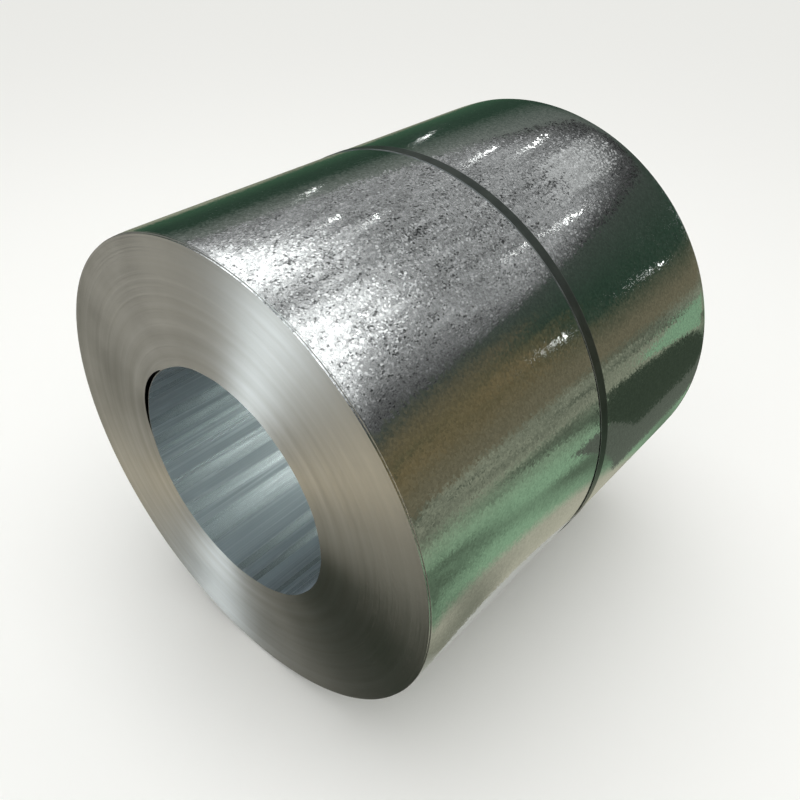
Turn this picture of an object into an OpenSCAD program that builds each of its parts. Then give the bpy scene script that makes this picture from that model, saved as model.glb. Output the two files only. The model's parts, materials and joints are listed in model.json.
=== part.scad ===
// Coil of galvanised steel strip, lying on its side, held by one flat steel strap.
// Millimetres, +Z up. The coil's axis runs along Y and its front end faces -Y.
// The origin is on the floor, under the middle of the coil.
// Angles go round the axis as seen from the front: 0 is at the right, 90 at the top.

/* [Coil] */
// Outside diameter of the coil
coil_od = 1016; // [800:1:1400]
// Diameter of the bore
bore_d = 508; // [400:1:610]
// Width of the strip
strip_w = 1000; // [600:1:1500]
// Thickness of the strip
strip_t = 1; // [0.5:0.1:2]

/* [Ends of the coil] */
// Turns in a band whose edges lie level with each other
band_turns = 15; // [6:1:40]
// Most that a band sits back from the front end
band_shift = 0.6; // [0.2:0.1:4]
// Outermost turns that have slid back together
outer_turns = 3; // [2:1:8]
// How far the outermost turns sit back
outer_shift = 4; // [1:0.5:20]
// How much further the last turn sits back
last_step = 3; // [0.5:0.5:10]

/* [Ends of the strip] */
// Angle at which the strip's outer end lies
tail_angle = 324; // [300:2:340]
// Angle of the middle of the gap behind the loose innermost turn
lead_angle = 156; // [0:1:359]
// Length of that gap round the bore, in degrees
lead_arc = 58; // [20:1:90]
// Widest opening of that gap
lead_gap = 13; // [2:0.5:20]
// Opening at the free edge of the innermost turn
lead_slit = 2; // [0.5:0.5:6]

/* [Strap] */
// Width of the strap
strap_w = 25; // [13:1:50]
// Thickness of the strap
strap_t = 0.8; // [0.4:0.1:1.5]
// Clearance between the strap and the coil
strap_gap = 0.2; // [0.05:0.05:0.5]
// Distance of the strap behind the middle of the coil
strap_offset = 38; // [-200:1:200]
// Length over which the strap's ends lie on each other
strap_lap = 150; // [100:1:300]

/* [Seal] */
// Angle at which the seal lies
seal_angle = 162; // [155:1:170]
// Length of the seal along the strap
seal_l = 57; // [40:1:90]
// Thickness of the seal
seal_t = 0.9; // [0.5:0.1:1.5]
// Clearance of the seal from the strap and from the coil
seal_gap = 0.1; // [0.05:0.05:0.5]
// Radius of the crimping notches in the edges of the seal and strap
notch_r = 4; // [2:0.5:6]
// Distance between the two pairs of notches
notch_pitch = 28; // [15:1:35]

/* [Hidden] */
$fn = 180;

coil_r = coil_od / 2;
bore_r = bore_d / 2;

// Along the axis, from the front end at front_z to the last turn's back edge at -front_z
coil_len = strip_w + outer_shift + last_step;
front_z = coil_len / 2;
// Cuts run this far past what they cut
past = 1;

// The face that the bands of turns fill, inside the outermost turns
face_r = coil_r - outer_turns * strip_t;
band_count = max(1, round((face_r - bore_r) / (band_turns * strip_t)));
// Bands differ in depth by up to this share of their mean depth, and in shift from this share up
band_spread = 0.3;
// An angle whose multiples never repeat, which keeps the bands uneven
golden = 137.5;

function band_uneven(i) = (i == 0 || i == band_count) ? 0 : band_spread * sin(i * golden);
function band_edge(i) = bore_r + (face_r - bore_r) * (i + band_uneven(i)) / band_count;
function band_back(i) = i % 2 == 0
    ? 0
    : band_shift * (band_spread + (1 - band_spread) * abs(sin(i * golden)));

// All turns but the last are turned as one, and the last turn reaches a little way into them
turn_overlap = strip_t / 4;
turned_r = coil_r - strip_t - turn_overlap;
last_turn_in = turned_r - turn_overlap;
tail_dir = [cos(tail_angle), sin(tail_angle)];

// The turned rings of the coil: inner radius, outer radius and shift from the front end
turned_rings = [
    for (i = [0 : band_count - 1]) [band_edge(i), band_edge(i + 1), band_back(i)],
    [face_r, turned_r, outer_shift]
];
ring_count = len(turned_rings);

// A round that cuts the gap behind the innermost turn, and its distance from the axis
inner_turn_r = bore_r + strip_t;
lead_half = lead_arc / 2;
lead_centre = lead_gap * (lead_gap + 2 * inner_turn_r)
    / (2 * (inner_turn_r * (1 - cos(lead_half)) + lead_gap));
lead_cut_r = inner_turn_r + lead_gap - lead_centre;
// The free edge stands this far inside the upper tip of the gap, in degrees
lead_inset = lead_arc / 16;

// The strap is drawn tight round the last turn
strap_in = coil_r + strap_gap;
strap_out = strap_in + strap_t;
strap_z = -strap_offset;
lap_out = strap_out + strap_t;
lap_deg = strap_lap / strap_out * 180 / PI;

// The seal is folded over the strap's lap, with its edges down to the coil
seal_foot = coil_r + seal_gap;
seal_in = lap_out + seal_gap;
seal_out = seal_in + seal_t;
seal_half_w = strap_w / 2 + seal_gap + seal_t;
seal_deg = seal_l / seal_in * 180 / PI;
notch_deg = notch_pitch / seal_in * 180 / PI;

// The strap is the lowest piece, so the axis is as high as the strap needs
axis_h = strap_out;

// Lays a shape, drawn as seen from the front, on the floor
module lay() {
    translate([0, 0, axis_h])
        rotate([90, 0, 0])
            children();
}

// A ring or part of a ring round the axis, over a stretch of the axis
module ring_sector(r_in, r_out, z_low, z_high, degrees) {
    rotate_extrude(angle = degrees)
        translate([r_in, z_low])
            square([r_out - r_in, z_high - z_low]);
}

// All turns but the last, turned from one section with a step for each band
module turned_winding() {
    front = [for (k = turned_rings) each [[k[0], front_z - k[2]], [k[1], front_z - k[2]]]];
    back = [for (j = [ring_count - 1 : -1 : 0])
        let (k = turned_rings[j], z = front_z - k[2] - strip_w)
            each [[k[1], z], [k[0], z]]];
    rotate_extrude()
        polygon(concat(front, back));
}

// The last turn: just past the strip's outer end the surface is lower by one strip,
// and from there it rises over a quarter turn
module last_turn() {
    translate([0, 0, -front_z])
        linear_extrude(strip_w)
            difference() {
                circle(r = coil_r);
                circle(r = last_turn_in);
                difference() {
                    rotate(tail_angle)
                        translate([-coil_od, 0])
                            square([2 * coil_od, coil_od]);
                    translate(-strip_t * tail_dir)
                        circle(r = coil_r);
                }
            }
}

// The crescent that opens behind the innermost turn, and the slit at that turn's free edge
module lead_opening() {
    difference() {
        rotate(lead_angle)
            translate([lead_centre, 0, -front_z - past])
                cylinder(r = lead_cut_r, h = coil_len + 2 * past);
        translate([0, 0, -front_z - 2 * past])
            cylinder(r = inner_turn_r, h = coil_len + 4 * past);
    }
    rotate(lead_angle - lead_half + lead_inset)
        translate([bore_r - past, -lead_slit / 2, -front_z - past])
            cube([2 * past + strip_t, lead_slit, coil_len + 2 * past]);
}

// Crimping notches, as the sealing tool cuts them through seal and strap
module seal_notches() {
    for (side = [-1, 1], pair = [-1, 1])
        rotate(seal_angle + pair * notch_deg / 2)
            translate([seal_foot - past, 0, strap_z + side * seal_half_w])
                rotate([0, 90, 0])
                    cylinder(r = notch_r, h = seal_out - seal_foot + 2 * past);
}

module coil() {
    color([0.72, 0.74, 0.75])
        lay()
            difference() {
                union() {
                    turned_winding();
                    last_turn();
                }
                lead_opening();
            }
}

module strap() {
    z_low = strap_z - strap_w / 2;
    z_high = strap_z + strap_w / 2;
    color([0.15, 0.16, 0.15])
        lay()
            difference() {
                ring_sector(strap_in, lap_out, z_low, z_high, 360);
                rotate(seal_angle + lap_deg / 2)
                    ring_sector(strap_out, lap_out + past, z_low - past, z_high + past, 360 - lap_deg);
                seal_notches();
            }
}

module strap_seal() {
    color([0.2, 0.21, 0.2])
        lay()
            difference() {
                rotate(seal_angle - seal_deg / 2)
                    rotate_extrude(angle = seal_deg)
                        translate([0, strap_z])
                            difference() {
                                translate([seal_foot, -seal_half_w])
                                    square([seal_out - seal_foot, 2 * seal_half_w]);
                                translate([seal_foot - past, seal_t - seal_half_w])
                                    square([seal_in - seal_foot + past, 2 * (seal_half_w - seal_t)]);
                            }
                seal_notches();
            }
}

coil();
strap();
strap_seal();
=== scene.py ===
import json
import math

import bmesh
import bpy
import numpy as np
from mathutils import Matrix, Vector


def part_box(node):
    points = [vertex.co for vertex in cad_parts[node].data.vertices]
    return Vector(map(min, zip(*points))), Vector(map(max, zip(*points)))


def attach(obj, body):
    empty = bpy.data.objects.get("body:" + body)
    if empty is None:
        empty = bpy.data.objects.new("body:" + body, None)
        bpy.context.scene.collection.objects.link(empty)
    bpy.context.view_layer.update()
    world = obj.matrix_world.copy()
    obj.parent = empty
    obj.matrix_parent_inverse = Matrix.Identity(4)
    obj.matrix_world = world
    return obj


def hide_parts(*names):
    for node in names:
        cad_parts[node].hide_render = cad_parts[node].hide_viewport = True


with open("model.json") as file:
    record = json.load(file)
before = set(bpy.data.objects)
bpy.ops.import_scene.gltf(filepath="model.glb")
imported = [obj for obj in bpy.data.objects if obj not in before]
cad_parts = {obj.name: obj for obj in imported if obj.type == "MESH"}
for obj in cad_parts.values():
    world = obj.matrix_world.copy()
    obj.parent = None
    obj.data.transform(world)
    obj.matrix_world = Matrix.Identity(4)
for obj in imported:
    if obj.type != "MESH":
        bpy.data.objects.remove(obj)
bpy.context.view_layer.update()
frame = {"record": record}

# The coil is one steel strip, 1 mm thick and 1 m wide, hot-dip galvanised and wound tight on a mandrel.
# The turns wander a little from side to side as they are wound, so the ends show bands of turns, and the
# outermost turns have slid back. The innermost turn has sprung away from the next one at its free edge.
MM = 0.001
STRIP_T = 1 * MM
bore_mount = next(m for m in frame["record"]["mounts"] if m["name"] == "bore")
axis_h = bore_mount["pos_m"][2]
bore_r = bore_mount["dims"]["r_mm"] * MM
strip_w = bore_mount["dims"]["length_mm"] * MM
coil_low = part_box("coil")[0]
coil_r = -coil_low.x
front_y = coil_low.y

# Bands of turns: every second band sits back, by a different amount
BAND_DEPTH = 15 * MM
BAND_SHIFT = 0.6 * MM
BAND_SPREAD = 0.3
# Multiples of this angle don't repeat within the bands, which keeps them uneven
GOLDEN = math.radians(137.5)
# The outermost turns have slid back together, and the last turn a little further
OUTER_TURNS = 3
OUTER_SHIFT = 4 * MM
LAST_STEP = 3 * MM
LAST_TURN_DEPTH = 1.5 * MM
face_r = coil_r - OUTER_TURNS * STRIP_T
last_turn_in = coil_r - LAST_TURN_DEPTH
band_count = round((face_r - bore_r) / BAND_DEPTH)


def band_edge(i):
    uneven = BAND_SPREAD * math.sin(i * GOLDEN) if 0 < i < band_count else 0
    return bore_r + (face_r - bore_r) * (i + uneven) / band_count


def band_back(i):
    if i % 2 == 0:
        return 0
    return BAND_SHIFT * (BAND_SPREAD + (1 - BAND_SPREAD) * abs(math.sin(i * GOLDEN)))


# Within a band, groups of turns differ by a few hundredths of a millimetre
GROUPS_IN_BAND = 2
GROUP_SHIFT = 0.06 * MM
# The turns at the border of two bands share out the step between them
STEP_HALF = 2.5 * MM
WINDING_SEED = 11
winding_rng = np.random.default_rng(WINDING_SEED)
# Each corner of an end, from the bore outwards: its radius and how far it sits back
turn_edges = []
for band in range(band_count):
    inner = band_edge(band)
    outer = band_edge(band + 1)
    for group in range(GROUPS_IN_BAND + 1):
        radius = inner + (outer - inner) * group / GROUPS_IN_BAND
        if group == 0 and band > 0:
            radius += STEP_HALF
        if group == GROUPS_IN_BAND and band < band_count - 1:
            radius -= STEP_HALF
        turn_edges.append((radius, band_back(band) + GROUP_SHIFT * winding_rng.random()))
turn_edges.append((face_r, OUTER_SHIFT))
turn_edges.append((last_turn_in, OUTER_SHIFT))
turn_edges.append((last_turn_in, OUTER_SHIFT + LAST_STEP))

# The strip's outer end: past it the surface is one strip lower and rises again over a quarter turn.
# Angles are in degrees, as seen from the front: 0 is at the right and 90 at the top.
TAIL_ANGLE = 324
TAIL_RISE = 90


def outer_radius(angle):
    past_tail = (angle - TAIL_ANGLE) % 360
    if past_tail >= TAIL_RISE:
        return coil_r
    return coil_r - STRIP_T * math.cos(math.radians(past_tail))


# The gap behind the innermost turn: a crescent, and the slit at that turn's free edge
LEAD_ANGLE = 156
LEAD_ARC = 58
LEAD_GAP = 13 * MM
LEAD_SLIT = 2 * MM
LEAD_INSET = LEAD_ARC / 16
# The innermost turn meets the winding again over this stretch, in degrees
LEAD_BLEND = 1
inner_turn_r = bore_r + STRIP_T
lead_half = math.radians(LEAD_ARC / 2)
lead_centre = LEAD_GAP * (LEAD_GAP + 2 * inner_turn_r) / (
    2 * (inner_turn_r * (1 - math.cos(lead_half)) + LEAD_GAP)
)
lead_cut_r = inner_turn_r + LEAD_GAP - lead_centre
free_edge = LEAD_ANGLE - LEAD_ARC / 2 + LEAD_INSET
slit_half = math.degrees(LEAD_SLIT / 2 / bore_r)
lead_root = LEAD_ANGLE + LEAD_ARC / 2


def gap_radius(angle):
    turned = math.radians(angle - LEAD_ANGLE)
    across = lead_centre * math.cos(turned)
    return across + math.sqrt(lead_cut_r ** 2 - (lead_centre * math.sin(turned)) ** 2)


# The strip isn't quite round: the mandrel's segments mark the bore, and the outer turns wave a little.
# Each wave is a count round the coil and a height in millimetres, and it turns a little along the axis.
BORE_WAVES = ((9, 0.8), (16, 0.6), (27, 0.35), (43, 0.16))
BODY_WAVES = ((7, 0.06), (13, 0.05), (24, 0.03))
WAVE_TWIST = 0.35


def waves(angle, along, table):
    turned = math.radians(angle)
    total = 0
    for count, height in table:
        phase = count * count + WAVE_TWIST * count * along
        total += height * MM * (1 - math.cos(count * turned + phase)) / 2
    return total


# A rolled strip is a hair thinner along its edges, so the wound coil falls away and waves there
EDGE_FALL = 0.9 * MM
EDGE_REACH = 32 * MM
EDGE_WAVES = ((11, 0.22), (17, 0.16), (29, 0.08))
EDGE_WAVE_REACH = 90 * MM


def edge_fall(angle, along):
    from_edge = min(along, 1 - along) * strip_w
    near = max(0, 1 - from_edge / EDGE_REACH)
    waving = max(0, 1 - from_edge / EDGE_WAVE_REACH)
    return EDGE_FALL * near ** 2 + waves(angle, along, EDGE_WAVES) * waving ** 2


# Rows of the mesh along the coil, as shares of its width, closer together near the strip's edges
BORE_STEPS = 10
EDGE_ROWS = tuple(d * MM / strip_w for d in (0, 4, 8, 13, 18, 25, 32, 45, 65, 90))
MID_ROWS = tuple(np.linspace(0.17, 0.83, 9))
BODY_ROWS = EDGE_ROWS + MID_ROWS + tuple(1 - d for d in EDGE_ROWS[::-1])
# Columns round the coil, from the strip's outer end on: angle, outside radius, and on which side of the
# slit a column lies where two share an angle. A column this close to the slit, in degrees, gives way.
ROUND_STEPS = 512
SLIT_CLEAR = 0.2
slit_low = 360 + free_edge - slit_half
gap_end = 360 + lead_root
angles = [TAIL_ANGLE + 360 * k / ROUND_STEPS for k in range(ROUND_STEPS)]
columns = [(a, outer_radius(a), None) for a in angles if abs(a - slit_low) >= SLIT_CLEAR]
columns.append((TAIL_ANGLE + 360, coil_r, None))
columns += [(slit_low, coil_r, "closed"), (slit_low, coil_r, "open"), (gap_end, coil_r, "open")]
columns.sort(key=lambda c: (c[0], c[2] == "open"))


def bore_radius(angle, state, along):
    if state == "closed" or angle < slit_low or angle > gap_end + LEAD_BLEND:
        return bore_r + waves(angle, along, BORE_WAVES)
    if angle <= gap_end:
        return gap_radius(angle)
    share = (angle - gap_end) / LEAD_BLEND
    return inner_turn_r + share * (bore_r + waves(angle, along, BORE_WAVES) - inner_turn_r)


# The coil's materials, in the order in which it is given them below
GALVANISED, SLIT_EDGE, BORE_SIDE, GAP_SIDE = range(4)
# The turns inside this radius make room for the waves of the bore and for the gap
squeeze_r = turn_edges[GROUPS_IN_BAND][0]


def winding_section(angle, out_r, state):
    """A section through the winding, as radius, y and material: bore, back end, outside, front end."""
    section = []
    first_back = turn_edges[0][1]
    for step in range(BORE_STEPS):
        along = step / BORE_STEPS
        y = front_y + first_back + along * strip_w
        section.append((bore_radius(angle, state, along), y, BORE_SIDE))
    for end in (1, 0):
        edges = turn_edges if end else turn_edges[::-1]
        for k, (radius, back) in enumerate(edges):
            step_next = k + 1 < len(edges) and edges[k + 1][0] == radius
            if radius < squeeze_r:
                bore_here = bore_radius(angle, state, end)
                radius = bore_here + (radius - bore_r) * (squeeze_r - bore_here) / (squeeze_r - bore_r)
            y = front_y + back + end * strip_w
            section.append((radius, y, GALVANISED if step_next else SLIT_EDGE))
        if end:
            last_y = front_y + OUTER_SHIFT + LAST_STEP
            for along in BODY_ROWS[::-1]:
                dip = waves(angle, along, BODY_WAVES) + edge_fall(angle, along)
                section.append((out_r - dip, last_y + along * strip_w, GALVANISED if along else SLIT_EDGE))
    return section


def round_point(radius, angle, y):
    turned = math.radians(angle)
    return (radius * math.cos(turned), y, radius * math.sin(turned))


def quads_between(here, there, size):
    """The faces between two neighbouring sections, each a loop of so many points."""
    return [(here + k, here + (k + 1) % size, there + (k + 1) % size, there + k) for k in range(size)]


verts = []
for angle, out_r, state in columns:
    section = winding_section(angle, out_r, state)
    verts += [round_point(radius, angle, y) for radius, y, slot in section]
# All sections have the same materials as the last one
section_slots = [slot for radius, y, slot in section]
section_len = len(section_slots)
faces = []
face_slots = []
for col, (angle, out_r, state) in enumerate(columns):
    after = (col + 1) % len(columns)
    in_gap = slit_low <= angle < gap_end and state != "closed"
    faces += quads_between(col * section_len, after * section_len, section_len)
    face_slots += [GAP_SIDE if in_gap and slot == BORE_SIDE else slot for slot in section_slots]

# The innermost turn over the gap, from its free edge to where it meets the winding again. It is a hair
# thinner than the strip and waves a little less than the bore, so its skin and the winding's don't coincide.
LEAD_STEPS = 72
LEAD_T = 0.98 * STRIP_T
LEAD_WAVE_SHARE = 0.9
lead_angles = np.linspace(free_edge + slit_half, lead_root + LEAD_BLEND, LEAD_STEPS)
lead_y = [front_y + strip_w * k / BORE_STEPS for k in range(BORE_STEPS + 1)]
lead_rows = len(lead_y)
lead_first = len(verts)
for angle in lead_angles:
    for side, ys in ((0, lead_y), (LEAD_T, lead_y[::-1])):
        for y in ys:
            along = (y - front_y) / strip_w
            radius = bore_r + side + LEAD_WAVE_SHARE * waves(angle, along, BORE_WAVES)
            verts.append(round_point(radius, angle, y))
lead_len = 2 * lead_rows
lead_slots = [BORE_SIDE] * (lead_rows - 1) + [SLIT_EDGE] + [GAP_SIDE] * (lead_rows - 1) + [SLIT_EDGE]
for col in range(LEAD_STEPS - 1):
    here = lead_first + col * lead_len
    faces += quads_between(here, here + lead_len, lead_len)
    face_slots += lead_slots
# The faces across its free edge and across its other end
for first, turn in ((lead_first, 1), (lead_first + (LEAD_STEPS - 1) * lead_len, -1)):
    for k in range(lead_rows - 1):
        quad = (first + k, first + lead_len - 1 - k, first + lead_len - 2 - k, first + k + 1)
        faces.append(quad[::turn])
        face_slots.append(SLIT_EDGE)

WELD = 0.002 * MM
SHARP_EDGE = math.radians(25)


def wound_object(name, points, skin, slots, weld=0):
    """An object round the coil's axis, shaded smooth, with its faces turned outwards."""
    mesh = bpy.data.meshes.new(name)
    mesh.from_pydata(points, [], skin)
    mesh.polygons.foreach_set("material_index", slots)
    mesh.polygons.foreach_set("use_smooth", [True] * len(skin))
    shell = bmesh.new()
    shell.from_mesh(mesh)
    if weld:
        bmesh.ops.remove_doubles(shell, verts=shell.verts, dist=weld)
        bmesh.ops.dissolve_degenerate(shell, edges=shell.edges, dist=weld)
    bmesh.ops.recalc_face_normals(shell, faces=shell.faces)
    shell.to_mesh(mesh)
    shell.free()
    mesh.set_sharp_from_angle(angle=SHARP_EDGE)
    made = bpy.data.objects.new(name, mesh)
    made.location = (0, 0, axis_h)
    bpy.context.scene.collection.objects.link(made)
    return made


wound_strip = wound_object("wound_strip", verts, faces, face_slots, WELD)


def linear(hex_colour):
    channels = [int(hex_colour[k:k + 2], 16) / 255 for k in (1, 3, 5)]
    return tuple(c / 12.92 if c <= 0.04045 else ((c + 0.055) / 1.055) ** 2.4 for c in channels) + (1,)


def add(tree, kind, inputs, **settings):
    """Adds a node. An input is a value, or another node's output to link.

    A Map Range takes its value at 0 and maps the range from input 1 to 2 onto input 3 to 4, or onto 0 to 1
    where those are left out. A colour Mix takes its share at 0 and its two colours at 6 and 7. Its result
    is output 2.
    """
    made = tree.nodes.new(kind)
    for name, value in settings.items():
        setattr(made, name, value)
    for name, value in inputs.items():
        if isinstance(value, bpy.types.NodeSocket):
            tree.links.new(value, made.inputs[name])
        else:
            made.inputs[name].default_value = value
    return made


def new_material(name):
    made = bpy.data.materials.new(name)
    made.use_nodes = True
    made.node_tree.nodes.clear()
    return made


# Hot-dip galvanised steel, as it comes from the zinc bath: bright and mirror-like, broken into small
# crystals. Each crystal leans a little its own way, so the surface glitters round a highlight.
SPANGLE = 4.2 * MM
SPANGLE_WARP = 0.35
CRYSTAL_LEAN = 0.03
CRYSTAL_SHADE = 0.5
FEATHER = 1.6 * MM
SMEAR = 120 * MM
ZINC_DULL = "#B2B6B4"
ZINC_BRIGHT = "#DDE0DE"
ZINC_DULLNESS = (0.6, 1.4)
ZINC_ROUGHNESS = (0.03, 0.14)
zinc_material = new_material("hot_dip_galvanised_steel")
tree = zinc_material.node_tree
place = add(tree, "ShaderNodeTexCoord", {}).outputs["Object"]
ripple = add(tree, "ShaderNodeTexNoise", {"Vector": place, "Scale": 1 / SPANGLE, "Detail": 3.0})
warp = add(
    tree, "ShaderNodeVectorMath",
    {0: ripple.outputs["Color"], 1: (SPANGLE * SPANGLE_WARP,) * 3, 2: place}, operation="MULTIPLY_ADD",
)
crystals = add(tree, "ShaderNodeTexVoronoi", {"Vector": warp.outputs[0], "Scale": 1 / SPANGLE})
split = add(tree, "ShaderNodeSeparateXYZ", {0: crystals.outputs["Color"]})
feather = add(tree, "ShaderNodeTexNoise", {"Vector": place, "Scale": 1 / FEATHER, "Detail": 2.0})
smear = add(tree, "ShaderNodeTexNoise", {"Vector": place, "Scale": 1 / SMEAR, "Detail": 4.0})
shade = add(
    tree, "ShaderNodeMath",
    {0: split.outputs[0], 1: CRYSTAL_SHADE, 2: -CRYSTAL_SHADE / 2}, operation="MULTIPLY_ADD",
)
shade = add(tree, "ShaderNodeMath", {0: shade.outputs[0], 1: feather.outputs[0]}, operation="ADD")
colour = add(
    tree, "ShaderNodeMix",
    {0: shade.outputs[0], 6: linear(ZINC_DULL), 7: linear(ZINC_BRIGHT)}, data_type="RGBA",
)
dullness = add(tree, "ShaderNodeMath", {0: smear.outputs[0], 1: split.outputs[1]}, operation="ADD")
rough = add(
    tree, "ShaderNodeMapRange",
    {
        0: dullness.outputs[0],
        1: ZINC_DULLNESS[0], 2: ZINC_DULLNESS[1], 3: ZINC_ROUGHNESS[0], 4: ZINC_ROUGHNESS[1],
    },
)
lean_by = add(
    tree, "ShaderNodeVectorMath", {0: crystals.outputs["Color"], 1: (0.5,) * 3}, operation="SUBTRACT"
)
normal = add(tree, "ShaderNodeNewGeometry", {}).outputs["Normal"]
leaning = add(
    tree, "ShaderNodeVectorMath",
    {0: lean_by.outputs[0], 1: (CRYSTAL_LEAN,) * 3, 2: normal}, operation="MULTIPLY_ADD",
)
facing = add(tree, "ShaderNodeVectorMath", {0: leaning.outputs[0]}, operation="NORMALIZE")
surface = add(
    tree, "ShaderNodeBsdfPrincipled",
    {
        "Base Color": colour.outputs[2],
        "Metallic": 1.0,
        "Roughness": rough.outputs[0],
        "Normal": facing.outputs[0],
    },
)
add(tree, "ShaderNodeOutputMaterial", {0: surface.outputs[0]})
wound_strip.data.materials.append(zinc_material)

# Slit steel edges, packed side by side: a grey, lightly brushed face of fine rings that spreads light
# across the rings, so that bright and dark fans turn round the end.
# A turn is 1 mm thick, too fine to show, so the rings are drawn about three times as coarse.
RING_PITCH = 3 * MM
RING_GROUP = 22 * MM
STAIN = 167 * MM
RING_DARK = "#88857A"
RING_BRIGHT = "#9E9B92"
# How much the fine rings and the groups of rings change the tone, and a shift that keeps its middle
FINE_TONE = 1.1
GROUP_TONE = 0.7
TONE_SHIFT = -0.4
RING_WEAR = (0.7, 1.3)
RING_ROUGHNESS = (0.40, 0.68)
RING_RELIEF = 0.1 * MM
RING_BUMP = 0.22
BRUSHED = 0.9
QUARTER_TURN = 0.25
edge_material = new_material("slit_steel_edges")
tree = edge_material.node_tree
place = add(tree, "ShaderNodeTexCoord", {}).outputs["Object"]
flat = add(tree, "ShaderNodeVectorMath", {0: place, 1: (1, 0, 1)}, operation="MULTIPLY")
off_axis = add(tree, "ShaderNodeVectorMath", {0: flat.outputs[0]}, operation="LENGTH").outputs["Value"]
rings = []
for spacing in (RING_PITCH, RING_GROUP):
    steps = add(tree, "ShaderNodeMath", {0: off_axis, 1: spacing}, operation="DIVIDE")
    rings.append(add(
        tree, "ShaderNodeTexNoise",
        {"W": steps.outputs[0], "Scale": 1.0, "Detail": 2.0}, noise_dimensions="1D",
    ))
fine, broad = rings
stain = add(tree, "ShaderNodeTexNoise", {"Vector": place, "Scale": 1 / STAIN, "Detail": 4.0})
tone = add(
    tree, "ShaderNodeMath", {0: fine.outputs[0], 1: FINE_TONE, 2: TONE_SHIFT}, operation="MULTIPLY_ADD"
)
tone = add(
    tree, "ShaderNodeMath",
    {0: broad.outputs[0], 1: GROUP_TONE, 2: tone.outputs[0]}, operation="MULTIPLY_ADD",
)
colour = add(
    tree, "ShaderNodeMix",
    {0: tone.outputs[0], 6: linear(RING_DARK), 7: linear(RING_BRIGHT)}, data_type="RGBA",
)
worn = add(tree, "ShaderNodeMath", {0: fine.outputs[0], 1: stain.outputs[0]}, operation="ADD")
rough = add(
    tree, "ShaderNodeMapRange",
    {0: worn.outputs[0], 1: RING_WEAR[0], 2: RING_WEAR[1], 3: RING_ROUGHNESS[0], 4: RING_ROUGHNESS[1]},
)
bump = add(
    tree, "ShaderNodeBump", {"Strength": RING_BUMP, "Distance": RING_RELIEF, "Height": fine.outputs[0]}
)
round_axis = add(tree, "ShaderNodeTangent", {}, direction_type="RADIAL", axis="Y")
surface = add(
    tree, "ShaderNodeBsdfPrincipled",
    {
        "Base Color": colour.outputs[2],
        "Metallic": 1.0,
        "Roughness": rough.outputs[0],
        "Anisotropic": BRUSHED,
        "Anisotropic Rotation": QUARTER_TURN,
        "Tangent": round_axis.outputs[0],
        "Normal": bump.outputs[0],
    },
)
add(tree, "ShaderNodeOutputMaterial", {0: surface.outputs[0]})
wound_strip.data.materials.append(edge_material)

# The bore is the inner side of the first turn: the same zinc, bluish where it mirrors itself, and rubbed
# in fine streaks along the axis by the mandrel. Rubbed stretches are paler and shinier.
STREAK_ACROSS = 3 * MM
STREAK_ALONG = 300 * MM
RUB_ACROSS = 26 * MM
RUB_ALONG = 1600 * MM
STREAK_TONE = 0.8
RUBBED = (0.42, 0.60)
BORE_DULL = "#B3BBBC"
BORE_BRIGHT = "#F6F9F8"
BORE_ROUGHNESS = (0.42, 0.14)
STREAK_RELIEF = 0.06 * MM
STREAK_BUMP = 0.2
bore_material = new_material("rubbed_galvanised_bore")
tree = bore_material.node_tree
place = add(tree, "ShaderNodeTexCoord", {}).outputs["Object"]
streaks = []
for across, along, detail in ((STREAK_ACROSS, STREAK_ALONG, 3.0), (RUB_ACROSS, RUB_ALONG, 2.0)):
    stretch = add(
        tree, "ShaderNodeVectorMath",
        {0: place, 1: (1 / across, 1 / along, 1 / across)}, operation="MULTIPLY",
    )
    streaks.append(
        add(tree, "ShaderNodeTexNoise", {"Vector": stretch.outputs[0], "Scale": 1.0, "Detail": detail})
    )
streak, rub = streaks
rubbed = add(tree, "ShaderNodeMapRange", {0: rub.outputs[0], 1: RUBBED[0], 2: RUBBED[1]})
fine = add(
    tree, "ShaderNodeMath",
    {0: streak.outputs[0], 1: STREAK_TONE, 2: -STREAK_TONE / 2}, operation="MULTIPLY_ADD",
)
tone = add(
    tree, "ShaderNodeMath", {0: rubbed.outputs[0], 1: fine.outputs[0]}, operation="ADD", use_clamp=True
)
colour = add(
    tree, "ShaderNodeMix",
    {0: tone.outputs[0], 6: linear(BORE_DULL), 7: linear(BORE_BRIGHT)}, data_type="RGBA",
)
rough = add(tree, "ShaderNodeMapRange", {0: tone.outputs[0], 3: BORE_ROUGHNESS[0], 4: BORE_ROUGHNESS[1]})
bump = add(
    tree, "ShaderNodeBump", {"Strength": STREAK_BUMP, "Distance": STREAK_RELIEF, "Height": streak.outputs[0]}
)
surface = add(
    tree, "ShaderNodeBsdfPrincipled",
    {
        "Base Color": colour.outputs[2],
        "Metallic": 1.0,
        "Roughness": rough.outputs[0],
        "Normal": bump.outputs[0],
    },
)
add(tree, "ShaderNodeOutputMaterial", {0: surface.outputs[0]})
wound_strip.data.materials.append(bore_material)

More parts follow.
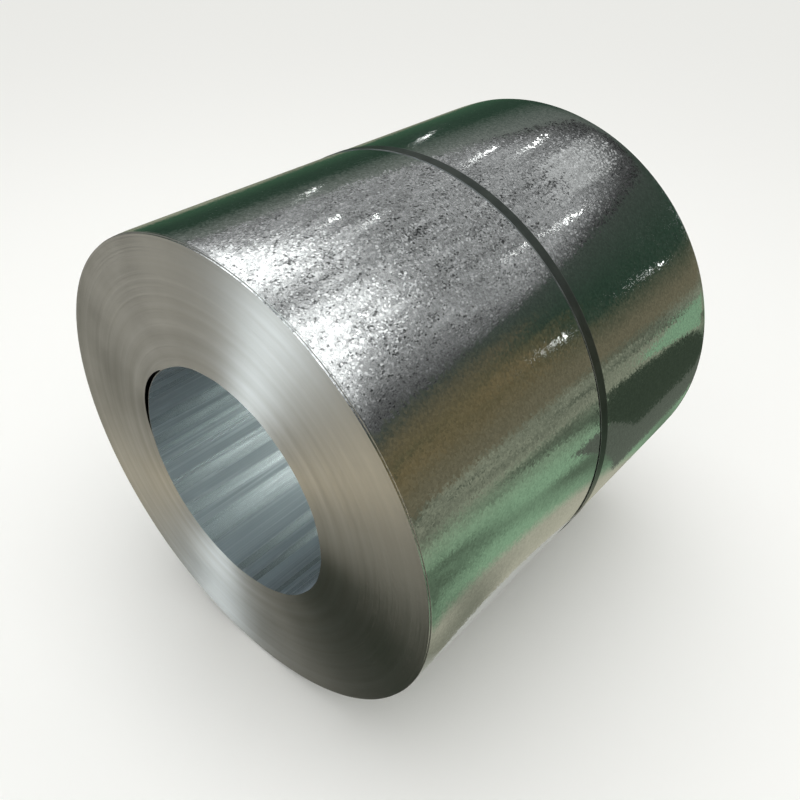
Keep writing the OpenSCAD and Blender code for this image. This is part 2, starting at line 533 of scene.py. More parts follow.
# Between the turns the zinc is painted dark, as painted shade for the narrow gap that light hardly reaches:
# half dull and slightly patchy.
# Most values of a noise lie within NOISE_SPREAD.
NOISE_SPREAD = (0.3, 0.7)
GAP_SHADE_DARK = "#1E211F"
GAP_SHADE_PALE = "#34383A"
GAP_SIDE_ROUGHNESS = (0.25, 0.4)
gap_material = new_material("painted_shade_between_turns")
tree = gap_material.node_tree
place = add(tree, "ShaderNodeTexCoord", {}).outputs["Object"]
gap_shade_patches = add(tree, "ShaderNodeTexNoise", {"Vector": place, "Scale": 1 / SMEAR, "Detail": 4.0})
colour = add(
    tree, "ShaderNodeMix",
    {0: gap_shade_patches.outputs[0], 6: linear(GAP_SHADE_DARK), 7: linear(GAP_SHADE_PALE)}, data_type="RGBA",
)
rough = add(
    tree, "ShaderNodeMapRange",
    {0: gap_shade_patches.outputs[0], 1: NOISE_SPREAD[0], 2: NOISE_SPREAD[1], 3: GAP_SIDE_ROUGHNESS[0], 4: GAP_SIDE_ROUGHNESS[1]},
)
surface = add(
    tree, "ShaderNodeBsdfPrincipled",
    {"Base Color": colour.outputs[2], "Metallic": 1.0, "Roughness": rough.outputs[0]},
)
add(tree, "ShaderNodeOutputMaterial", {0: surface.outputs[0]})
wound_strip.data.materials.append(gap_material)
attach(wound_strip, "root")
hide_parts("coil")

# The strap is a flat band of blued and waxed steel, 25 mm wide, pulled tight round the coil. Its ends lie
# on each other for 150 mm under the seal. Its edges are pale: partly rubbed bright by the tensioning tool,
# partly a painted edge highlight.
STRAP_GAP = 0.2 * MM
STRAP_T = 0.8 * MM
STRAP_ROUND = 0.25 * MM
STRAP_LAP = 150 * MM
strap_low, strap_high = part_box("strap")
strap_half_w = (strap_high.y - strap_low.y) / 2
strap_mid = (strap_low.y + strap_high.y) / 2
strap_in = coil_r + STRAP_GAP
strap_out = strap_in + STRAP_T
lap_out = strap_out + STRAP_T
lap_half = math.degrees(STRAP_LAP / strap_out) / 2

# The sealing tool cuts its notches through the seal and the strap together
SEAL_ANGLE = 162
SEAL_T = 0.9 * MM
SEAL_GAP = 0.1 * MM
NOTCH_R = 4 * MM
NOTCH_PITCH = 28 * MM
seal_half_w = strap_half_w + SEAL_GAP + SEAL_T


def notch_depth(angle):
    along = abs(math.radians(angle - SEAL_ANGLE) * lap_out)
    off = along - NOTCH_PITCH / 2
    if abs(off) >= NOTCH_R:
        return 0
    return math.sqrt(NOTCH_R ** 2 - off ** 2)


def strap_section(r_in, r_out, half):
    e = STRAP_ROUND
    return (
        (r_in, -half + e), (r_in + e, -half), (r_out - e, -half), (r_out, -half + e),
        (r_out, half - e), (r_out - e, half), (r_in + e, half), (r_in, half - e),
    )


def band_object(name, table):
    """A band round the axis, closed at both ends. Each row is an angle and the points of its section."""
    size = len(table[0][1])
    points = [round_point(r, angle, strap_mid + y) for angle, section in table for r, y in section]
    skin = []
    for row in range(len(table) - 1):
        skin += quads_between(row * size, (row + 1) * size, size)
    skin.append(tuple(range(size)))
    skin.append(tuple(range(len(points) - 1, len(points) - 1 - size, -1)))
    return wound_object(name, points, skin, [0] * len(skin))


# The upper end climbs onto the lower one over this stretch, in degrees, and lies a hair above it
LAP_BLEND = 2.5
LAP_LIFT = 1.02 * STRAP_T
# More steps lie within this many degrees of the seal's middle, for the notches
STRAP_STEPS = 560
NOTCH_STEPS = 80
NOTCH_SPAN = 3
strap_start = SEAL_ANGLE - lap_half
strap_end = SEAL_ANGLE + lap_half + 360
strap_angles = set(np.linspace(strap_start, strap_end, STRAP_STEPS))
for middle in (SEAL_ANGLE, SEAL_ANGLE + 360):
    strap_angles |= set(np.linspace(middle - NOTCH_SPAN, middle + NOTCH_SPAN, NOTCH_STEPS))
strap_table = []
for angle in sorted(strap_angles):
    climb = (angle - (strap_start + 360 - LAP_BLEND)) / LAP_BLEND
    lift = LAP_LIFT * min(max(climb, 0), 1)
    cut = notch_depth(angle if angle < SEAL_ANGLE + 180 else angle - 360)
    half = min(strap_half_w, seal_half_w - cut) if cut else strap_half_w
    strap_table.append((angle, strap_section(strap_in + lift, strap_out + lift, half)))
steel_strap = band_object("steel_strap", strap_table)

# Blued strapping steel under a thin wax: near black with a green-grey cast, satin, with a fine grain along
# the strap, and edges painted pale: partly rubbed to bare steel, partly a painted edge highlight.
GRAIN_ALONG = 33.3 * MM
GRAIN_ACROSS = 1.11 * MM
WAX = 22.2 * MM
BLUED_DARK = "#363C38"
BLUED_PALE = "#545B55"
BARE_STEEL_AND_EDGE_HIGHLIGHT = "#B8BCBA"
EDGE_WEAR_AND_HIGHLIGHT = 1.2 * MM
BLUED_METALLIC = 0.9
BLUED_ROUGHNESS = (0.28, 0.42)
GRAIN_RELIEF = 0.05 * MM
GRAIN_BUMP = 0.3
strap_material = new_material("blued_waxed_strapping_steel")
tree = strap_material.node_tree
place = add(tree, "ShaderNodeTexCoord", {}).outputs["Object"]
long_grain = add(
    tree, "ShaderNodeMapping",
    {"Vector": place, "Scale": (1 / GRAIN_ALONG, 1 / GRAIN_ACROSS, 1 / GRAIN_ALONG)},
)
grain = add(tree, "ShaderNodeTexNoise", {"Vector": long_grain.outputs[0], "Scale": 1.0, "Detail": 3.0})
wax = add(tree, "ShaderNodeTexNoise", {"Vector": place, "Scale": 1 / WAX, "Detail": 4.0})
blued = add(
    tree, "ShaderNodeMix",
    {0: wax.outputs[0], 6: linear(BLUED_DARK), 7: linear(BLUED_PALE)}, data_type="RGBA",
)
split = add(tree, "ShaderNodeSeparateXYZ", {0: place})
off_mid = add(tree, "ShaderNodeMath", {0: split.outputs[1], 1: strap_mid}, operation="SUBTRACT")
off_mid = add(tree, "ShaderNodeMath", {0: off_mid.outputs[0]}, operation="ABSOLUTE")
# The pale edges: wear, and partly a painted edge highlight
edge_wear_and_highlight = add(tree, "ShaderNodeMapRange", {0: off_mid.outputs[0], 1: strap_half_w - EDGE_WEAR_AND_HIGHLIGHT, 2: strap_half_w})
edge_wear_and_highlight = add(tree, "ShaderNodeMath", {0: edge_wear_and_highlight.outputs[0], 1: grain.outputs[0]}, operation="MULTIPLY")
colour = add(
    tree, "ShaderNodeMix",
    {0: edge_wear_and_highlight.outputs[0], 6: blued.outputs[2], 7: linear(BARE_STEEL_AND_EDGE_HIGHLIGHT)}, data_type="RGBA",
)
rough = add(
    tree, "ShaderNodeMapRange",
    {
        0: grain.outputs[0],
        1: NOISE_SPREAD[0], 2: NOISE_SPREAD[1], 3: BLUED_ROUGHNESS[0], 4: BLUED_ROUGHNESS[1],
    },
)
bump = add(
    tree, "ShaderNodeBump", {"Strength": GRAIN_BUMP, "Distance": GRAIN_RELIEF, "Height": grain.outputs[0]}
)
surface = add(
    tree, "ShaderNodeBsdfPrincipled",
    {
        "Base Color": colour.outputs[2],
        "Metallic": BLUED_METALLIC,
        "Roughness": rough.outputs[0],
        "Normal": bump.outputs[0],
    },
)
add(tree, "ShaderNodeOutputMaterial", {0: surface.outputs[0]})
steel_strap.data.materials.append(strap_material)
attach(steel_strap, "root")
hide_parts("strap")

# The seal is a small sleeve of the same blued steel, 57 mm long, folded over the strap's two ends.
# Two pairs of notches crimp it to them, and its edges reach down to the coil.
SEAL_L = 57 * MM
SEAL_STEPS = 120
seal_foot = coil_r + SEAL_GAP
seal_in = lap_out + SEAL_GAP
seal_out = seal_in + SEAL_T
seal_half_deg = math.degrees(SEAL_L / 2 / seal_in)
seal_table = []
for angle in np.linspace(SEAL_ANGLE - seal_half_deg, SEAL_ANGLE + seal_half_deg, SEAL_STEPS):
    half = seal_half_w - notch_depth(angle)
    wall = min(SEAL_T, half)
    e = STRAP_ROUND
    seal_table.append((angle, (
        (seal_foot, -half), (seal_out - e, -half), (seal_out, -half + e),
        (seal_out, half - e), (seal_out - e, half), (seal_foot, half),
        (seal_foot, half - wall), (seal_in, half - wall), (seal_in, -half + wall), (seal_foot, -half + wall),
    )))
crimped_seal = band_object("crimped_seal", seal_table)
crimped_seal.data.materials.append(strap_material)
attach(crimped_seal, "root")
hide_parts("strap_seal")

# The studio floor is pale, smooth and wide, so the coil lies on plain ground with a soft shadow.
# It is painted matt and runs far out on all sides.
FLOOR_HALF = 40
FLOOR_PAINT = "#F6F6F4"


def stage_piece(name, points, faces, material, only_in_metal=True):
    """A piece of the studio, which is no piece of the part. Most of them show only in the metal."""
    mesh = bpy.data.meshes.new(name)
    mesh.from_pydata(points, [], faces)
    mesh.materials.append(material)
    made = bpy.data.objects.new(name, mesh)
    bpy.context.scene.collection.objects.link(made)
    if only_in_metal:
        made.visible_camera = False
        made.visible_diffuse = False
        made.visible_shadow = False


def level_corners(low, high, z):
    return [(low[0], low[1], z), (high[0], low[1], z), (high[0], high[1], z), (low[0], high[1], z)]


floor_material = new_material("matt_floor_paint")
tree = floor_material.node_tree
paint = add(tree, "ShaderNodeBsdfDiffuse", {"Color": linear(FLOOR_PAINT)})
add(tree, "ShaderNodeOutputMaterial", {0: paint.outputs[0]})
floor_corners = level_corners((-FLOOR_HALF, -FLOOR_HALF), (FLOOR_HALF, FLOOR_HALF), 0)
stage_piece("studio_floor", floor_corners, [(0, 1, 2, 3)], floor_material, only_in_metal=False)

# A grey-green curtain hangs in an arc behind the coil, and its cloth lies on the floor up to the coil.
# It is no lamp, yet it glows in its own colours: a painted reflection of a room, seen only in the metal.
# It is dark at half height, with brown at the right, and paler above and below, and its ends fade away.
CURTAIN_R = 5.5
CURTAIN_H = 3.6
SWEEP_R = 0.50
CLOTH_LIFT = 4 * MM
CURTAIN_STEPS = 48
# Its two ends and the stretch over which they fade, in degrees from straight behind the coil
CURTAIN_LEFT = -110
CURTAIN_RIGHT = 138
CURTAIN_FADE = 20
curtain_points = []
curtain_faces = []
for k in range(CURTAIN_STEPS + 1):
    turned = math.radians(CURTAIN_LEFT + (CURTAIN_RIGHT - CURTAIN_LEFT) * k / CURTAIN_STEPS)
    for reach, height in ((SWEEP_R, CLOTH_LIFT), (CURTAIN_R, CLOTH_LIFT), (CURTAIN_R, CURTAIN_H)):
        curtain_points.append((reach * math.sin(turned), reach * math.cos(turned), height))
    if k:
        here = 3 * k
        for row in range(2):
            curtain_faces.append((here + row - 3, here + row, here + row + 1, here + row - 2))

# The cloth on the floor, by its distance from the middle of the coil
HEM_CLOTH = "#BBB9A6"
NEAR_CLOTH = "#95B796"
FAR_CLOTH = "#969A86"
HEM = (0.72, 0.82)
SPREAD = (1.3, 2.6)
# Dark creases in it: painted shade
CREASE = 0.77
CREASE_SHADE_CLOTH = "#4C5548"
CREASED = (0.45, 0.62)
CREASE_SHADE_DEPTH = 0.75
# The hanging cloth, by its height: its foot, its middle and its top, each from left to right
FOOT_CLOTH = ("#3E5C47", "#7A745F")
MID_CLOTH = ("#34493C", "#7D7053")
TOP_CLOTH = ("#878C87", "#4C544E")
FOOT_HEIGHTS = (0.02, 0.3)
MID_HEIGHTS = (0.6, 1.6)
TOP_HEIGHTS = (2.2, CURTAIN_H)
LEFT_TO_RIGHT = (-3.0, 0.5)
# The brown at the right sets in here, as far as the folds let it
BROWN_FROM = (3.3, 4.1)
BROWN_LOW = -0.6
FOLD_WIDTH = 2.0
FOLD_HEIGHT = 0.455
FOLD_TONE = 2.0
curtain_material = new_material("glowing_grey_green_curtain")
tree = curtain_material.node_tree
place = add(tree, "ShaderNodeTexCoord", {}).outputs["Object"]
across, back, height = add(tree, "ShaderNodeSeparateXYZ", {0: place}).outputs
flat = add(tree, "ShaderNodeVectorMath", {0: place, 1: (1, 1, 0)}, operation="MULTIPLY")
away = add(tree, "ShaderNodeVectorMath", {0: flat.outputs[0]}, operation="LENGTH").outputs["Value"]
hem, spread, foot, mid, top, rightwards = (
    add(tree, "ShaderNodeMapRange", {0: measure, 1: start, 2: end}).outputs[0]
    for measure, (start, end) in (
        (away, HEM), (away, SPREAD), (height, FOOT_HEIGHTS), (height, MID_HEIGHTS), (height, TOP_HEIGHTS),
        (across, LEFT_TO_RIGHT),
    )
)
crease = add(tree, "ShaderNodeTexNoise", {"Vector": place, "Scale": 1 / CREASE, "Detail": 2.0})
crease_shade = add(
    tree, "ShaderNodeMapRange", {0: crease.outputs[0], 1: CREASED[0], 2: CREASED[1], 4: CREASE_SHADE_DEPTH}
).outputs[0]
drape = add(
    tree, "ShaderNodeMapping", {"Vector": place, "Scale": (1 / FOLD_WIDTH, 1 / FOLD_WIDTH, 1 / FOLD_HEIGHT)}
)
fold = add(tree, "ShaderNodeTexNoise", {"Vector": drape.outputs[0], "Scale": 1.0, "Detail": 3.0})
blotch = add(
    tree, "ShaderNodeMath", {0: fold.outputs[0], 1: FOLD_TONE, 2: -FOLD_TONE / 2}, operation="MULTIPLY_ADD"
)
brown = add(
    tree, "ShaderNodeMapRange", {0: across, 1: BROWN_FROM[0], 2: BROWN_FROM[1], 3: BROWN_LOW, 4: 1.0}
)
brown = add(
    tree, "ShaderNodeMath", {0: brown.outputs[0], 1: blotch.outputs[0]}, operation="ADD", use_clamp=True
).outputs[0]
foot_cloth, mid_cloth, top_cloth = (
    add(tree, "ShaderNodeMix", {0: share, 6: linear(left), 7: linear(right)}, data_type="RGBA").outputs[2]
    for share, (left, right) in ((rightwards, FOOT_CLOTH), (brown, MID_CLOTH), (rightwards, TOP_CLOTH))
)
cloth = linear(HEM_CLOTH)
for share, other in (
    (hem, linear(NEAR_CLOTH)), (spread, linear(FAR_CLOTH)), (crease_shade, linear(CREASE_SHADE_CLOTH)),
    (foot, foot_cloth), (mid, mid_cloth), (top, top_cloth),
):
    cloth = add(tree, "ShaderNodeMix", {0: share, 6: cloth, 7: other}, data_type="RGBA").outputs[2]
# The cloth glows in these colours though it is no lamp: a painted reflection
glow = add(tree, "ShaderNodeEmission", {"Color": cloth, "Strength": 1.0})
turn = add(tree, "ShaderNodeMath", {0: across, 1: back}, operation="ARCTAN2").outputs[0]
left_end = add(
    tree, "ShaderNodeMapRange",
    {0: turn, 1: math.radians(CURTAIN_LEFT), 2: math.radians(CURTAIN_LEFT + CURTAIN_FADE)},
)
right_end = add(
    tree, "ShaderNodeMapRange",
    {
        0: turn,
        1: math.radians(CURTAIN_RIGHT - CURTAIN_FADE), 2: math.radians(CURTAIN_RIGHT), 3: 1.0, 4: 0.0,
    },
)
cover = add(tree, "ShaderNodeMath", {0: left_end.outputs[0], 1: right_end.outputs[0]}, operation="MULTIPLY")
sheer = add(tree, "ShaderNodeBsdfTransparent", {})
faded = add(tree, "ShaderNodeMixShader", {0: cover.outputs[0], 1: sheer.outputs[0], 2: glow.outputs[0]})
add(tree, "ShaderNodeOutputMaterial", {0: faded.outputs[0]})
stage_piece("studio_curtain", curtain_points, curtain_faces, curtain_material)

# A white ceiling closes the studio at the curtain's height. Its panels glow evenly in front and brightest
# just behind the coil, and fade to the back and the sides. A mottle in them makes the crystals glitter.
CEILING_LOW = (-9.0, -2.2)
CEILING_HIGH = (6.0, 6.5)
CEILING_WHITE = "#FBFBFD"
# Along the coil: from and to, and the glow at each
BRIGHT_ZONE = (1.35, 2.4, 1.5, 0.0)
BACK_ZONE = (4.2, 5.0, 0.40, 0.06)
# The even glow in front, and where it gives way to these zones: from and to, and their share at each
FRONT_GLOW = 0.84
FRONT_ZONE = (-0.3, 0.7, 0.0, 1.0)
# Across the coil: a middle line, from and to on both sides of it, and the share of glow at each
DARK_BEAM = (-0.2, 0.2, 0.8, 0.2, 1.0)
BRIGHT_ENDS = (-0.3, 1.6, 3.4, 1.0, 0.2)
CEILING_SIDES = (-0.9, 2.6, 5.2, 1.0, 0.3)
MOTTLE = 83.3 * MM
MOTTLED = (0.42, 0.58)
MOTTLE_GLOW = (0.12, 1.88)
ceiling_material = new_material("glowing_white_ceiling_panels")
tree = ceiling_material.node_tree
place = add(tree, "ShaderNodeTexCoord", {}).outputs["Object"]
across, back, height = add(tree, "ShaderNodeSeparateXYZ", {0: place}).outputs
bright, far, front = (
    add(
        tree, "ShaderNodeMapRange", {0: back, 1: start, 2: end, 3: at_start, 4: at_end},
        interpolation_type="SMOOTHSTEP",
    ).outputs[0]
    for start, end, at_start, at_end in (BRIGHT_ZONE, BACK_ZONE, FRONT_ZONE)
)
side_shares = []
for (middle, start, end, at_start, at_end), blend in (
    (DARK_BEAM, "LINEAR"), (BRIGHT_ENDS, "LINEAR"), (CEILING_SIDES, "SMOOTHSTEP")
):
    off_mid = add(tree, "ShaderNodeMath", {0: across, 1: middle}, operation="SUBTRACT")
    off_mid = add(tree, "ShaderNodeMath", {0: off_mid.outputs[0]}, operation="ABSOLUTE")
    share = add(
        tree, "ShaderNodeMapRange", {0: off_mid.outputs[0], 1: start, 2: end, 3: at_start, 4: at_end},
        interpolation_type=blend,
    )
    side_shares.append(share.outputs[0])
beam, ends, sides = side_shares
cloud = add(tree, "ShaderNodeTexNoise", {"Vector": place, "Scale": 1 / MOTTLE, "Detail": 2.0})
mottle = add(
    tree, "ShaderNodeMapRange",
    {0: cloud.outputs[0], 1: MOTTLED[0], 2: MOTTLED[1], 3: MOTTLE_GLOW[0], 4: MOTTLE_GLOW[1]},
)
level = add(tree, "ShaderNodeMath", {0: bright, 1: beam}, operation="MULTIPLY")
level = add(tree, "ShaderNodeMath", {0: level.outputs[0], 1: ends, 2: far}, operation="MULTIPLY_ADD")
level = add(tree, "ShaderNodeMath", {0: level.outputs[0], 1: sides}, operation="MULTIPLY")
level = add(tree, "ShaderNodeMix", {0: front, 2: FRONT_GLOW, 3: level.outputs[0]})
level = add(tree, "ShaderNodeMath", {0: level.outputs[0], 1: mottle.outputs[0]}, operation="MULTIPLY")
glow = add(tree, "ShaderNodeEmission", {"Color": linear(CEILING_WHITE), "Strength": level.outputs[0]})
add(tree, "ShaderNodeOutputMaterial", {0: glow.outputs[0]})
ceiling_corners = level_corners(CEILING_LOW, CEILING_HIGH, CURTAIN_H)
stage_piece("studio_ceiling", ceiling_corners, [(0, 1, 2, 3)], ceiling_material)

# Softboxes are lamps behind a stretched white cloth. One over the coil gives the floor its soft shadow. The
# others show only in the metal: one hangs at the back, a tall cool one and a low warm one stand before the
# front end, and one behind the coil lights the back end. The last three glow less towards their edges.
SOFT_EDGE = 0.25


def edge_fade(tree, spot, soft, corners):
    """1 in the middle of a cloth or card, and falling to 0 at its edges over a share of its width."""
    off = add(tree, "ShaderNodeVectorMath", {0: spot, 1: (0.5,) * 3}, operation="SUBTRACT")
    off = add(tree, "ShaderNodeVectorMath", {0: off.outputs[0]}, operation="ABSOLUTE")
    split = add(tree, "ShaderNodeSeparateXYZ", {0: off.outputs[0]})
    fade_x, fade_y = (
        add(tree, "ShaderNodeMapRange", {0: split.outputs[k], 1: 0.5 - soft, 2: 0.5, 3: 1.0, 4: 0.0})
        for k in range(2)
    )
    both = add(tree, "ShaderNodeMath", {0: fade_x.outputs[0], 1: fade_y.outputs[0]}, operation=corners)
    return both.outputs[0]


def area_lamp(name, place, aim, size, power, soft=0.0, tint="#FFFFFF", on_floor=False, in_metal=True):
    """A flat lamp. A soft edge widens it, so that its half-bright line keeps its size."""
    data = bpy.data.lights.new(name, "AREA")
    data.shape = "RECTANGLE"
    data.size = size[0] / (1 - soft)
    data.size_y = size[1] / (1 - soft)
    data.energy = power / (1 - soft) ** 2
    data.color = linear(tint)[:3]
    if soft:
        data.use_nodes = True
        tree = data.node_tree
        tree.nodes.clear()
        spot = add(tree, "ShaderNodeNewGeometry", {}).outputs["Parametric"]
        glow = add(tree, "ShaderNodeEmission", {"Strength": edge_fade(tree, spot, soft, "MULTIPLY")})
        add(tree, "ShaderNodeOutputLight", {0: glow.outputs[0]})
    made = bpy.data.objects.new(name, data)
    made.location = place
    made.rotation_mode = "QUATERNION"
    made.rotation_quaternion = (Vector(aim) - Vector(place)).to_track_quat("-Z", "Y")
    made.visible_camera = False
    made.visible_diffuse = on_floor
    made.visible_glossy = in_metal
    bpy.context.scene.collection.objects.link(made)


BACK_BOX_DROP = 0.05
area_lamp(
    "overhead_softbox", place=(0, 0, CURTAIN_H), aim=(0, 0, 0), size=(4.2, 1.0), power=40,
    on_floor=True, in_metal=False,
)
area_lamp(
    "back_softbox", place=(0.1, 4.2, CURTAIN_H - BACK_BOX_DROP), aim=(0.1, 4.2, 0),
    size=(1.4, 0.7), power=0.9,
)
area_lamp(
    "front_softbox", place=(-0.7, -3.4, 2.4), aim=(0, -0.5, 0.9), size=(1.4, 3.4), power=160,
    soft=SOFT_EDGE, tint="#D9E9FF",
)
area_lamp(
    "low_softbox", place=(1.2, -3.0, 0.45), aim=(0, -0.5, 0.6), size=(1.8, 0.6), power=17,
    soft=SOFT_EDGE, tint="#FFEFCF",
)
area_lamp(
    "rear_softbox", place=(0.2, 3.4, 0.75), aim=(0, 0.5, 0.5), size=(1.8, 1.1), power=60, soft=SOFT_EDGE,
)

# Small bare lamps hang under the ceiling and before the curtain, and draw short streaks along the coil.
# Each is a place and a width, and all have the same power for their area.
HANGING_LAMPS = (
    ((-1.71, 3.71, 3.31), 0.08), ((-1.19, 4.01, 3.36), 0.08), ((1.34, 3.88, 3.42), 0.08),
    ((1.39, 3.29, 3.45), 0.05), ((-1.81, 2.22, 3.45), 0.06), ((-3.25, 2.63, 2.60), 0.06),
    ((-1.18, 2.27, 3.45), 0.05), ((-3.05, 3.51, 1.90), 0.06), ((3.35, 3.40, 1.60), 0.05),
    ((2.77, 3.99, 1.46), 0.035),
)
LAMP_POWER = 27
for k, (lamp_place, width) in enumerate(HANGING_LAMPS):
    area_lamp(
        f"hanging_lamp_{k}", place=lamp_place, aim=(0, 0, axis_h), size=(width, width),
        power=LAMP_POWER * width ** 2,
    )

# Cards lie flat on the floor. A dark one with soft edges is a painted shadow: it darkens the foot of the
# front end as shade would. Three more lie on the cloth behind the coil at the right, a millimetre apart: a
# grey strip beside the coil, over it a dark wedge, and a green patch further off.
SHADOW_CARD_LIFT = 3 * MM
STRIP_LIFT = 5 * MM
WEDGE_LIFT = 6 * MM
PATCH_LIFT = 7 * MM
SHADOW_CARD_LOW = (-0.755, -1.118)
SHADOW_CARD_HIGH = (0.795, -0.443)
WEDGE_OUTLINE = ((0.74, 0.82), (1.2, 1.0), (1.8, 1.7), (1.4, 2.0), (0.76, 1.6))
STRIP_OUTLINE = ((0.5, 0.54), (0.74, 0.63), (1.1, 0.72), (1.1, 1.6), (0.55, 1.6))
PATCH_OUTLINE = ((1.27, 2.02), (1.8, 2.05), (2.5, 3.7), (2.1, 3.9))


def card(name, points, colour, strength=1.0, soft=0.0):
    """A glowing card that shows only in the metal. It may fade towards its edges."""
    material = new_material(name)
    tree = material.node_tree
    glow = add(tree, "ShaderNodeEmission", {"Color": linear(colour), "Strength": strength})
    shown = glow
    if soft:
        spot = add(tree, "ShaderNodeTexCoord", {}).outputs["Generated"]
        cover = edge_fade(tree, spot, soft, "MINIMUM")
        sheer = add(tree, "ShaderNodeBsdfTransparent", {})
        shown = add(tree, "ShaderNodeMixShader", {0: cover, 1: sheer.outputs[0], 2: glow.outputs[0]})
    add(tree, "ShaderNodeOutputMaterial", {0: shown.outputs[0]})
    stage_piece(name, points, [tuple(range(len(points)))], material)


# The painted shadow at the foot of the front end, dark with soft edges
shadow_card_corners = level_corners(SHADOW_CARD_LOW, SHADOW_CARD_HIGH, SHADOW_CARD_LIFT)
card("foot_shadow_card", shadow_card_corners, "#3B463B", soft=SOFT_EDGE)
# Among them a dark wedge-shaped card
for name, outline, lift, colour in (
    ("dark_wedge_card", WEDGE_OUTLINE, WEDGE_LIFT, "#404B3E"),
    ("kerb_card", STRIP_OUTLINE, STRIP_LIFT, "#646B60"),
    ("far_card", PATCH_OUTLINE, PATCH_LIFT, "#8FB392"),
):
    card(name, [(x, y, lift) for x, y in outline], colour)

# Pale round cards close both mouths of the bore from outside, so that light comes in evenly. On the far one
# a bright upright strip is fixed, which the rubbed streaks draw out along the bore.
BORE_CARD_SIDES = 48
BORE_CARD_GAP = 1 * MM
BORE_STRIP_GAP = 2 * MM
BORE_STRIP_X = (-0.05, 0.09)
BORE_STRIP_HALF = 0.22
BORE_STRIP_GLOW = 3.4


def ring_points(radius, y, first, last, count):
    """Points on a round about the coil's axis, from one angle to another."""
    turns = [first + (last - first) * k / count for k in range(count + 1)]
    return [Vector(round_point(radius, turn, y)) + Vector((0, 0, axis_h)) for turn in turns]


far_mouth_y = front_y + strip_w + BORE_CARD_GAP
near_mouth_y = front_y - BORE_CARD_GAP
for name, mouth_y, colour, strength in (
    ("bore_card", far_mouth_y, "#EAF1F1", 0.74),
    ("front_bore_card", near_mouth_y, "#DDE6EA", 0.6),
):
    card(name, ring_points(bore_r, mouth_y, 0, 360, BORE_CARD_SIDES)[:-1], colour, strength)
strip_y = far_mouth_y - BORE_STRIP_GAP
strip_low = (BORE_STRIP_X[0], axis_h - BORE_STRIP_HALF)
strip_high = (BORE_STRIP_X[1], axis_h + BORE_STRIP_HALF)
strip_corners = [(x, y, z) for x, z, y in level_corners(strip_low, strip_high, strip_y)]
card("bore_strip", strip_corners, "#FFFFFF", BORE_STRIP_GLOW)

# From behind, the body would mirror the front softbox as one hard block. A half ring of pale cloth,
# stretched upright just before the front end, hides it there. It is no lamp, yet it glows, a painted
# reflection seen only in the metal. Its mottle grows with distance from the coil.
COLLAR_IN = coil_r + 4 * MM
COLLAR_OUT = 1.9
COLLAR_GAP = 8 * MM
COLLAR_ENDS = (20, 200)
COLLAR_CLOTH = "#F4F6F8"
COLLAR_MOTTLE = MOTTLE / 5
# From and to, and the value at each: two glows by height that are added, and the mottle by distance
LOW_GLOW = (0.3, 0.9, 0.84, 0.5)
HIGH_GLOW = (0.9, 2.0, 0.0, 0.6)
MOTTLE_REACH = (0.55, 1.1, 0.04, 0.75)
collar_y = front_y - COLLAR_GAP
collar_material = new_material("glowing_pale_cloth")
tree = collar_material.node_tree
place = add(tree, "ShaderNodeTexCoord", {}).outputs["Object"]
height = add(tree, "ShaderNodeSeparateXYZ", {0: place}).outputs[2]
off_axis = add(
    tree, "ShaderNodeVectorMath", {0: place, 1: (0, collar_y, axis_h)}, operation="DISTANCE"
).outputs["Value"]
low, high, mottled = (
    add(tree, "ShaderNodeMapRange", {0: measure, 1: start, 2: end, 3: at_start, 4: at_end}).outputs[0]
    for measure, (start, end, at_start, at_end) in (
        (height, LOW_GLOW), (height, HIGH_GLOW), (off_axis, MOTTLE_REACH)
    )
)
cloud = add(tree, "ShaderNodeTexNoise", {"Vector": place, "Scale": 1 / COLLAR_MOTTLE, "Detail": 2.0})
swing = add(tree, "ShaderNodeMapRange", {0: cloud.outputs[0], 1: MOTTLED[0], 2: MOTTLED[1], 3: -1.0, 4: 1.0})
mottle = add(tree, "ShaderNodeMath", {0: swing.outputs[0], 1: mottled, 2: 1.0}, operation="MULTIPLY_ADD")
level = add(tree, "ShaderNodeMath", {0: low, 1: high}, operation="ADD")
level = add(tree, "ShaderNodeMath", {0: level.outputs[0], 1: mottle.outputs[0]}, operation="MULTIPLY")
glow = add(tree, "ShaderNodeEmission", {"Color": linear(COLLAR_CLOTH), "Strength": level.outputs[0]})
add(tree, "ShaderNodeOutputMaterial", {0: glow.outputs[0]})
collar_in, collar_out = (
    ring_points(radius, collar_y, COLLAR_ENDS[0], COLLAR_ENDS[1], BORE_CARD_SIDES)
    for radius in (COLLAR_IN, COLLAR_OUT)
)
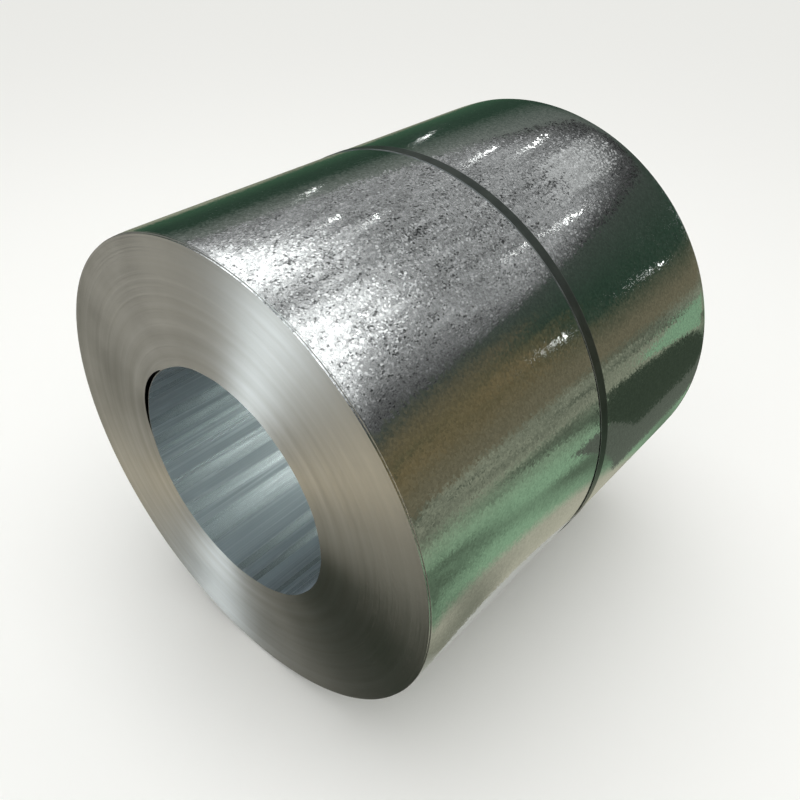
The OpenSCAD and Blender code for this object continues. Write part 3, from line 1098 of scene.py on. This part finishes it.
collar_outline = collar_in + collar_out[::-1]
stage_piece("front_collar", collar_outline, [tuple(range(len(collar_outline)))], collar_material)

# The air of the studio is an even pale grey that lights the coil from all sides. The camera and the metal
# see it a little darker than it shines, so that the background stays just below white.
AIR_GREY = "#F7F7F5"
AIR_LIGHT = 0.95
AIR_SEEN = 0.9
world = bpy.data.worlds.new("studio_air")
world.use_nodes = True
tree = world.node_tree
tree.nodes.clear()
light_path = add(tree, "ShaderNodeLightPath", {})
seen = light_path.outputs["Is Camera Ray"]
for ray in ("Is Glossy Ray", "Is Transmission Ray"):
    seen = add(tree, "ShaderNodeMath", {0: seen, 1: light_path.outputs[ray]}, operation="MAXIMUM").outputs[0]
air_level = add(tree, "ShaderNodeMapRange", {0: seen, 3: AIR_LIGHT, 4: AIR_SEEN})
air = add(tree, "ShaderNodeBackground", {"Color": linear(AIR_GREY), "Strength": air_level.outputs[0]})
add(tree, "ShaderNodeOutputWorld", {0: air.outputs[0]})
bpy.context.scene.world = world

# The camera stands to the right of the front end and looks down on the coil, as in the photograph.
# Its place is measured from the middle of the coil, and its lens is for a sensor 36 mm wide.
CAMERA_PLACE = (0.9827, -1.1204, 1.0416)
CAMERA_AZIMUTH = math.radians(41.204)
CAMERA_ELEVATION = math.radians(36.890)
SENSOR_MM = 36
LENS_MM = 35.014
camera_data = bpy.data.cameras.new("camera")
camera_data.sensor_width = SENSOR_MM
camera_data.lens = LENS_MM
camera = bpy.data.objects.new("camera", camera_data)
camera.location = Vector(CAMERA_PLACE) + Vector((0, 0, axis_h))
towards = -Vector((
    math.sin(CAMERA_AZIMUTH) * math.cos(CAMERA_ELEVATION),
    -math.cos(CAMERA_AZIMUTH) * math.cos(CAMERA_ELEVATION),
    math.sin(CAMERA_ELEVATION),
))
camera.rotation_mode = "QUATERNION"
camera.rotation_quaternion = towards.to_track_quat("-Z", "Y")
bpy.context.scene.collection.objects.link(camera)
bpy.context.scene.camera = camera
bpy.context.scene.view_settings.view_transform = "Standard"
